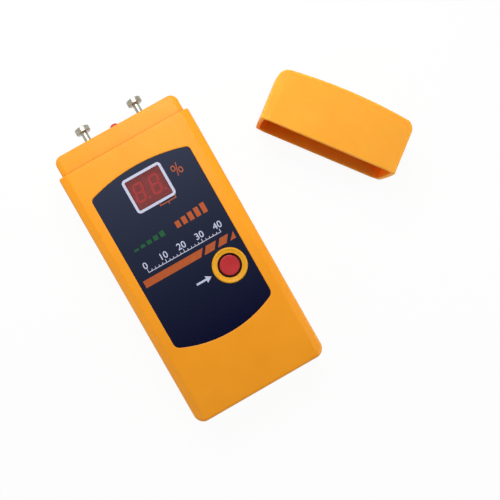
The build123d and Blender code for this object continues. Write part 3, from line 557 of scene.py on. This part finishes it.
def battery_jacket(name):
    """Printed metal jacket of the battery: dark body with a bare band at each end."""
    material, tree, shader = new_material(name)
    split = tree.nodes.new("ShaderNodeSeparateXYZ")
    tree.links.new(object_place(tree), split.inputs["Vector"])
    low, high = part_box("battery_case")
    half = (high.x - low.x) / 2
    apart = maths(tree, "ABSOLUTE", maths(tree, "SUBTRACT", split.outputs["X"], (low.x + high.x) / 2))
    band = ranged(tree, apart, half - BAND_WIDTH, half - BAND_WIDTH + BAND_BLUR, 0, 1)
    cloud = varied(tree, waves=300, to_low=0, to_high=1)
    body = blend_colours(tree, cloud, *BATTERY_BODY)
    tree.links.new(blend_colours(tree, band, body, BATTERY_BAND), shader.inputs["Base Color"])
    tree.links.new(ranged(tree, band, 0, 1, to_low=0.3, to_high=0.9), shader.inputs["Metallic"])
    tree.links.new(varied(tree, waves=800, to_low=0.28, to_high=0.4), shader.inputs["Roughness"])
    normal, _ = soft_edges(tree, radius=0.0003)
    grain = noise(tree, waves=1200)
    raised = bump(tree, grain, distance=0.00001, strength=0.4, normal=normal)
    tree.links.new(raised, shader.inputs["Normal"])
    return material


def foam(name):
    """Open-celled foam."""
    material, tree, shader = new_material(name)
    cells = tree.nodes.new("ShaderNodeTexVoronoi")
    cells.inputs["Scale"].default_value = 1800
    tree.links.new(object_place(tree), cells.inputs["Vector"])
    wall = ranged(tree, cells.outputs["Distance"], low=0.1, high=0.7, to_low=0, to_high=1)
    tree.links.new(blend_colours(tree, wall, *FOAM), shader.inputs["Base Color"])
    shader.inputs["Roughness"].default_value = 0.95
    raised = bump(tree, wall, distance=0.0002, strength=0.8)
    tree.links.new(raised, shader.inputs["Normal"])
    return material


MATERIALS = {
    "orange_plastic": orange_plastic("orange_plastic", ORANGE, ORANGE_DEEP),
    "cap_plastic": orange_plastic(
        "cap_plastic", ORANGE_CAP, ORANGE_CAP_DEEP, edge=0.0008, wear_and_highlight=0.05, gloss=0.02, glow=0.6, crease_shade_strength=0.2
    ),
    "label_film": label_film("label_film"),
    "red_filter": red_filter("red_filter"),
    "red_plastic": red_button_plastic("red_plastic"),
    "nickel": metal("nickel", *NICKEL, roughness=0.22),
    "plated_steel": metal("plated_steel", *STEEL, roughness=0.32),
    "board_laminate": laminate("board_laminate"),
    "display_red": lit_segment("display_red"),
    "battery_jacket": battery_jacket("battery_jacket"),
    "foam": foam("foam"),
    "ink_lavender": ink("ink_lavender", LAVENDER, 0.9),
    "ink_orange": ink("ink_orange", PRINT_ORANGE, 0.85),
    "ink_green": ink("ink_green", PRINT_GREEN, 0.8),
}
for plastic, look in PLASTICS.items():
    MATERIALS[plastic] = moulded_plastic(plastic, *look)


def dress(piece, material):
    """Gives an object one material."""
    piece.data.materials.clear()
    piece.data.materials.append(MATERIALS[material])


def dress_nodes():
    """Gives every node the material that its record names, or a look of its own."""
    for entry in frame["record"]["subparts"]:
        name = entry["node"]
        dress(nodes[name], OWN_LOOKS.get(name, entry["material_slot"]))


def finish_piece(piece, body, material):
    """Dresses a piece, and makes it ride on its body."""
    dress(piece, material)
    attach(piece, body)
    return piece


# Printing on the label


def label_face():
    """Height of the label's face."""
    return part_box("front_label")[1].z


def printed(name, polygons, material):
    """Thin raised printing made of flat polygons, each a list of corners in millimetres."""
    low = label_face() - PRINT_SINK * MM
    mesh = bpy.data.meshes.new(name)
    build = bmesh.new()
    for corners in polygons:
        face = build.faces.new([build.verts.new((x * MM, y * MM, low)) for x, y in corners])
        if face.normal.z > 0:
            face.normal_flip()
        face.normal_update()
        raised = bmesh.ops.extrude_face_region(build, geom=[face])
        top = [item for item in raised["geom"] if isinstance(item, bmesh.types.BMVert)]
        bmesh.ops.translate(build, verts=top, vec=(0, 0, (PRINT_SINK + PRINT_RISE) * MM))
    bmesh.ops.recalc_face_normals(build, faces=build.faces)
    build.to_mesh(mesh)
    build.free()
    return finish_piece(add_object(name, mesh), "housing", material)


def bar(x_low, x_high, y_low, y_high):
    """Upright rectangle."""
    return [(x_low, y_low), (x_high, y_low), (x_high, y_high), (x_low, y_high)]


def ring(x, y, x_radius, y_radius, line, count=20):
    """Oval ring as a chain of small four-sided pieces."""
    pieces = []
    for index in range(count):
        corners = []
        for step, inner in ((index, 0), (index + 1, 0), (index + 1, 1), (index, 1)):
            angle = 2 * math.pi * step / count
            share = 1 - inner * line / min(x_radius, y_radius)
            across = x_radius * share * math.cos(angle)
            upward = y_radius * share * math.sin(angle)
            corners.append((x + across, y + upward))
        pieces.append(corners)
    return pieces


def rounded_frame(x, y, width, height, line, corner, steps=6):
    """Rounded rectangular line round a middle, as a chain of four-sided pieces."""
    outer = []
    inner = []
    for quarter, (right, up) in enumerate(((1, 1), (-1, 1), (-1, -1), (1, -1))):
        corner_x = x + right * (width / 2 - corner)
        corner_y = y + up * (height / 2 - corner)
        for step in range(steps + 1):
            angle = math.radians(90 * quarter + 90 * step / steps)
            for points, radius in ((outer, corner), (inner, corner - line)):
                points.append((corner_x + radius * math.cos(angle), corner_y + radius * math.sin(angle)))
    pieces = []
    for index in range(len(outer)):
        following = (index + 1) % len(outer)
        pieces.append([outer[index], outer[following], inner[following], inner[index]])
    return pieces


def print_display_frame():
    """Pale line round the display window."""
    window_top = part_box("display_window")[1].z
    vertices = nodes["display_window"].data.vertices
    top = [vertex.co for vertex in vertices if vertex.co.z > window_top - WINDOW_TOP_SLACK]
    left = min(place.x for place in top) / MM
    right = max(place.x for place in top) / MM
    near = min(place.y for place in top) / MM
    far = max(place.y for place in top) / MM
    grow = 2 * (FRAME_GAP + FRAME_LINE)
    line = rounded_frame(
        (left + right) / 2, (near + far) / 2, right - left + grow, far - near + grow, FRAME_LINE, FRAME_CORNER
    )
    printed("print_display_frame", line, "ink_lavender")


def print_percent():
    """Percent sign beside the display."""
    shapes = []
    for x, y in PERCENT_RINGS:
        shapes += ring(x, y, *PERCENT_RADII, PERCENT_LINE)
    low_left = PERCENT_STROKE_LEFT
    low_right = low_left + PERCENT_LINE
    shapes.append([
        (low_left, PERCENT_STROKE_LOW),
        (low_right, PERCENT_STROKE_LOW),
        (low_right + PERCENT_LEAN, PERCENT_STROKE_TOP),
        (low_left + PERCENT_LEAN, PERCENT_STROKE_TOP),
    ])
    printed("print_percent", shapes, "ink_orange")


def print_bracket():
    """Bracket under the display."""
    arm_low = BRACKET_BASE + BRACKET_LINE
    shapes = [
        bar(BRACKET_LEFT, BRACKET_RIGHT, BRACKET_BASE, arm_low),
        bar(BRACKET_LEFT, BRACKET_LEFT + BRACKET_LINE, arm_low, BRACKET_TOP),
        bar(BRACKET_RIGHT - BRACKET_LINE, BRACKET_RIGHT, arm_low, BRACKET_TOP),
        bar(BRACKET_STEM_LEFT, BRACKET_STEM_LEFT + BRACKET_LINE, BRACKET_STEM_LOW, BRACKET_BASE),
    ]
    printed("print_bracket", shapes, "ink_orange")


def print_level_bars():
    """Row of bars that grow from left to right, green for dry and orange for damp."""
    for group, (name, left, ink_name) in enumerate(BAR_GROUPS):
        bars = []
        for index in range(BARS_IN_GROUP):
            x = left + index * BAR_PITCH
            height = BAR_FIRST_HEIGHT + BAR_GROWTH * (group * BARS_IN_GROUP + index)
            bars.append(bar(x, x + BAR_WIDTH, BAR_LOW, BAR_LOW + height))
        printed(name, bars, ink_name)


def scale_place(index):
    """Place of a tick along the scale."""
    return SCALE_LEFT + (SCALE_RIGHT - SCALE_LEFT) * index / SCALE_STEPS


def print_scale():
    """Scale of ticks from 0 to 40, with its numbers."""
    line_top = SCALE_BASE + SCALE_HALF_LINE
    line_left = SCALE_LEFT - SCALE_HALF_LINE
    line_right = SCALE_RIGHT + SCALE_HALF_LINE
    shapes = [bar(line_left, line_right, SCALE_BASE - SCALE_HALF_LINE, line_top)]
    for index in range(SCALE_STEPS + 1):
        x = scale_place(index)
        rise = TICK_SHORT if index % SCALE_STEPS_PER_NUMBER else TICK_TALL
        shapes.append(bar(x - TICK_HALF_WIDTH, x + TICK_HALF_WIDTH, line_top, SCALE_BASE + rise))
    printed("print_scale", shapes, "ink_lavender")
    for index in range(0, SCALE_STEPS + 1, SCALE_STEPS_PER_NUMBER):
        value = NUMBER_STEP * index // SCALE_STEPS_PER_NUMBER
        print_number("print_number_%d" % value, str(value), scale_place(index), SCALE_BASE + NUMBER_LIFT)


def print_number(name, digits, x, y):
    """A number of the scale, centred over its tick."""
    curve = bpy.data.curves.new(name + "_outline", "FONT")
    curve.body = digits
    curve.align_x = "CENTER"
    curve.size = NUMBER_HEIGHT * NUMBER_SIZE_PER_HEIGHT * MM
    curve.extrude = (PRINT_SINK + PRINT_RISE) / 2 * MM
    curve.offset = NUMBER_THICKEN * MM
    outline = add_object(name + "_outline", curve)
    bpy.context.view_layer.update()
    mesh = bpy.data.meshes.new_from_object(outline)
    bpy.data.objects.remove(outline)
    mesh.name = name
    middle = label_face() + (PRINT_RISE - PRINT_SINK) / 2 * MM
    mesh.transform(Matrix.Translation((x * MM, y * MM, middle)))
    return finish_piece(add_object(name, mesh), "housing", "ink_lavender")


def print_stripe():
    """Stripe across the label that breaks up towards the button."""
    shapes = []
    for low_left, low_right, top_right, top_left in STRIPE_BLOCKS:
        low_edge = [(low_left, STRIPE_LOW), (low_right, STRIPE_LOW)]
        top_edge = [(top_right, STRIPE_TOP), (top_left, STRIPE_TOP)]
        shapes.append(low_edge + top_edge)
    shapes.append([
        (STRIPE_TIP_LEFT, STRIPE_LOW),
        (STRIPE_TIP_RIGHT, STRIPE_LOW),
        (STRIPE_TIP_RIGHT, STRIPE_TOP - STRIPE_TIP_DROP),
    ])
    printed("print_stripe", shapes, "ink_orange")


def print_arrow():
    """Small arrow that points at the test button."""
    shaft = bar(ARROW_TAIL, ARROW_NECK, ARROW_MIDDLE - ARROW_HALF_SHAFT, ARROW_MIDDLE + ARROW_HALF_SHAFT)
    head = [
        (ARROW_NECK, ARROW_MIDDLE - ARROW_HALF_HEAD),
        (ARROW_TIP, ARROW_MIDDLE),
        (ARROW_NECK, ARROW_MIDDLE + ARROW_HALF_HEAD),
    ]
    printed("print_arrow", [shaft, head], "ink_lavender")


# Turned and moulded pieces that stand for plain ones


def lathe(name, profile, origin, along):
    """Closed turned piece from (radius, height) pairs in metres, round a line through origin."""
    build = bmesh.new()
    turned = []
    for radius, height in profile:
        if radius == 0:
            turned.append([build.verts.new((0, 0, height))])
            continue
        circle = []
        for index in range(TURNED_FACES):
            angle = 2 * math.pi * index / TURNED_FACES
            circle.append(build.verts.new((radius * math.cos(angle), radius * math.sin(angle), height)))
        turned.append(circle)
    for lower, upper in zip(turned, turned[1:]):
        for index in range(TURNED_FACES):
            following = (index + 1) % TURNED_FACES
            if len(lower) == 1:
                build.faces.new((lower[0], upper[following], upper[index]))
            elif len(upper) == 1:
                build.faces.new((lower[index], lower[following], upper[0]))
            else:
                build.faces.new((lower[index], lower[following], upper[following], upper[index]))
    bmesh.ops.recalc_face_normals(build, faces=build.faces)
    mesh = bpy.data.meshes.new(name)
    build.to_mesh(mesh)
    build.free()
    turn = Vector((0, 0, 1)).rotation_difference(Vector(along)).to_matrix().to_4x4()
    mesh.transform(Matrix.Translation(origin) @ turn)
    piece = add_object(name, mesh)
    with bpy.context.temp_override(object=piece, active_object=piece, selected_editable_objects=[piece]):
        bpy.ops.object.shade_smooth_by_angle(angle=math.radians(SMOOTH_ANGLE))
    return piece


def arc(centre, radius, start, end, steps=6):
    """Points on a part of a circle in the lathe's plane, from one angle to another in degrees."""
    points = []
    for step in range(steps + 1):
        angle = math.radians(start + (end - start) * step / steps)
        points.append((centre[0] + radius * math.cos(angle), centre[1] + radius * math.sin(angle)))
    return points


def rim_heights(name, radius):
    """Lowest and highest place of a node's widest rim."""
    low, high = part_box(name)
    centre = (low + high) / 2
    heights = []
    for vertex in nodes[name].data.vertices:
        reach = math.hypot(vertex.co.x - centre.x, vertex.co.y - centre.y)
        if reach > radius - RIM_SLACK:
            heights.append(vertex.co.z)
    return min(heights), max(heights)


def make_test_button():
    """Test button with a soft rolled edge and a barely dished middle."""
    low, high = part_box("test_button")
    centre = (low + high) / 2
    height = high.z - low.z
    stem = BUTTON_STEM_RADIUS * MM
    face = BUTTON_FACE_RADIUS * MM
    roll = BUTTON_ROLL * MM
    dish = BUTTON_DISH * MM
    flange = (high.x - low.x) / 2
    rim_low, rim_high = rim_heights("test_button", flange)
    flange_low = rim_low - low.z
    flange_high = rim_high - low.z
    profile = [(0, 0), (stem, 0), (stem, flange_low), (flange, flange_low), (flange, flange_high)]
    profile.append((face, flange_high))
    profile += arc((face - roll, height - roll), roll, 0, 90, steps=8)
    for share in (0.75, 0.5, 0.25, 0):
        profile.append(((face - roll) * share, height - dish * (1 - share**2)))
    piece = lathe("test_button_top", profile, (centre.x, centre.y, low.z), (0, 0, 1))
    finish_piece(piece, "test_button_body", "red_plastic")
    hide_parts("test_button")


def make_electrode(name):
    """Turned electrode: head with rolled edges, neck and thinner stud."""
    low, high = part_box(name)
    centre = (low + high) / 2
    length = high.y - low.y
    head = (high.x - low.x) / 2
    neck = NECK_RADIUS * MM
    stud = STUD_RADIUS * MM
    roll = HEAD_ROLL * MM
    head_low = length - HEAD_LENGTH * MM
    neck_low = head_low - NECK_LENGTH * MM
    profile = [(0, 0), (stud, 0), (stud, neck_low), (neck, neck_low), (neck, head_low)]
    profile += arc((head - roll, head_low + roll), roll, -90, 0)
    profile += arc((head - roll, length - roll), roll, 0, 90)
    profile.append((0, length))
    piece = lathe(name + "_turned", profile, (centre.x, low.y, centre.z), (0, 1, 0))
    finish_piece(piece, "housing", "nickel")
    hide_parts(name)


# Stage, lights and camera


def seen(tree, share):
    """A share for rays from the camera, off gloss or through a clear piece, and 0 for the rest."""
    path = tree.nodes.new("ShaderNodeLightPath")
    total = path.outputs["Is Camera Ray"]
    for other in ("Is Glossy Ray", "Is Transmission Ray"):
        total = maths(tree, "MAXIMUM", total, path.outputs[other])
    return maths(tree, "MULTIPLY", total, share)


def mixed_shader(tree, share, first, second, output):
    """Blend of two shaders by a share from 0 to 1, led to the tree's output."""
    mix = tree.nodes.new("ShaderNodeMixShader")
    tree.links.new(share, mix.inputs["Fac"])
    tree.links.new(first.outputs[0], mix.inputs[1])
    tree.links.new(second.outputs[0], mix.inputs[2])
    tree.links.new(mix.outputs[0], tree.nodes[output].inputs["Surface"])


def make_floor():
    """Pale floor that the camera sees as nearly white, with a faint shadow."""
    mesh = bpy.data.meshes.new("floor")
    half = FLOOR_HALF
    corners = [(-half, -half, 0), (half, -half, 0), (half, half, 0), (-half, half, 0)]
    mesh.from_pydata(corners, [], [(0, 1, 2, 3)])
    floor = add_object("floor", mesh)
    floor.location.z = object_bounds()[0].z - FLOOR_DROP
    material, tree, shader = new_material("pale_floor")
    shader.inputs["Base Color"].default_value = FLOOR_COLOUR
    shader.inputs["Roughness"].default_value = FLOOR_ROUGHNESS
    shader.inputs["Specular IOR Level"].default_value = FLOOR_GLOSS
    glow = tree.nodes.new("ShaderNodeEmission")
    mixed_shader(tree, seen(tree, FLOOR_WHITE), shader, glow, "Material Output")
    floor.data.materials.append(material)


def make_world():
    """Soft pale surroundings, whiter where the camera sees them."""
    world = bpy.data.worlds.new("studio")
    bpy.context.scene.world = world
    world.use_nodes = True
    tree = world.node_tree
    soft = tree.nodes["Background"]
    white = tree.nodes.new("ShaderNodeBackground")
    for background, strength in ((soft, WORLD_STRENGTH), (white, SKY_WHITE)):
        background.inputs["Color"].default_value = WHITE
        background.inputs["Strength"].default_value = strength
    mixed_shader(tree, seen(tree, 1.0), soft, white, "World Output")


def make_lamp(name, place, target, size, power):
    """Soft square lamp that faces a target."""
    light = bpy.data.lights.new(name, "AREA")
    light.size = size
    light.energy = power
    lamp = add_object(name, light)
    lamp.location = place
    lamp.rotation_euler = (Vector(target) - Vector(place)).to_track_quat("-Z", "Y").to_euler()


def make_lights():
    """Key lamp beyond the electrodes, and low soft lamps at both sides for the bevels."""
    for name, values in LAMPS.items():
        make_lamp(name, *values)


def make_camera():
    """Camera above the meter, looking almost straight down."""
    camera = bpy.data.cameras.new("camera")
    camera.sensor_width = CAMERA_SENSOR
    camera.lens = CAMERA_LENS
    camera.shift_x = CAMERA_SHIFT
    camera.clip_start = CAMERA_NEAR
    holder = add_object("camera", camera)
    holder.location = CAMERA_PLACE
    holder.rotation_euler = [math.radians(angle) for angle in (*CAMERA_TILT, CAMERA_TURN)]
    bpy.context.scene.camera = holder


dress_nodes()
print_display_frame()
print_percent()
print_bracket()
print_level_bars()
print_scale()
print_stripe()
print_arrow()
make_test_button()
for electrode in ("electrode_left", "electrode_right"):
    make_electrode(electrode)
make_floor()
make_world()
make_lights()
make_camera()
bpy.context.scene.view_settings.view_transform = "Standard"
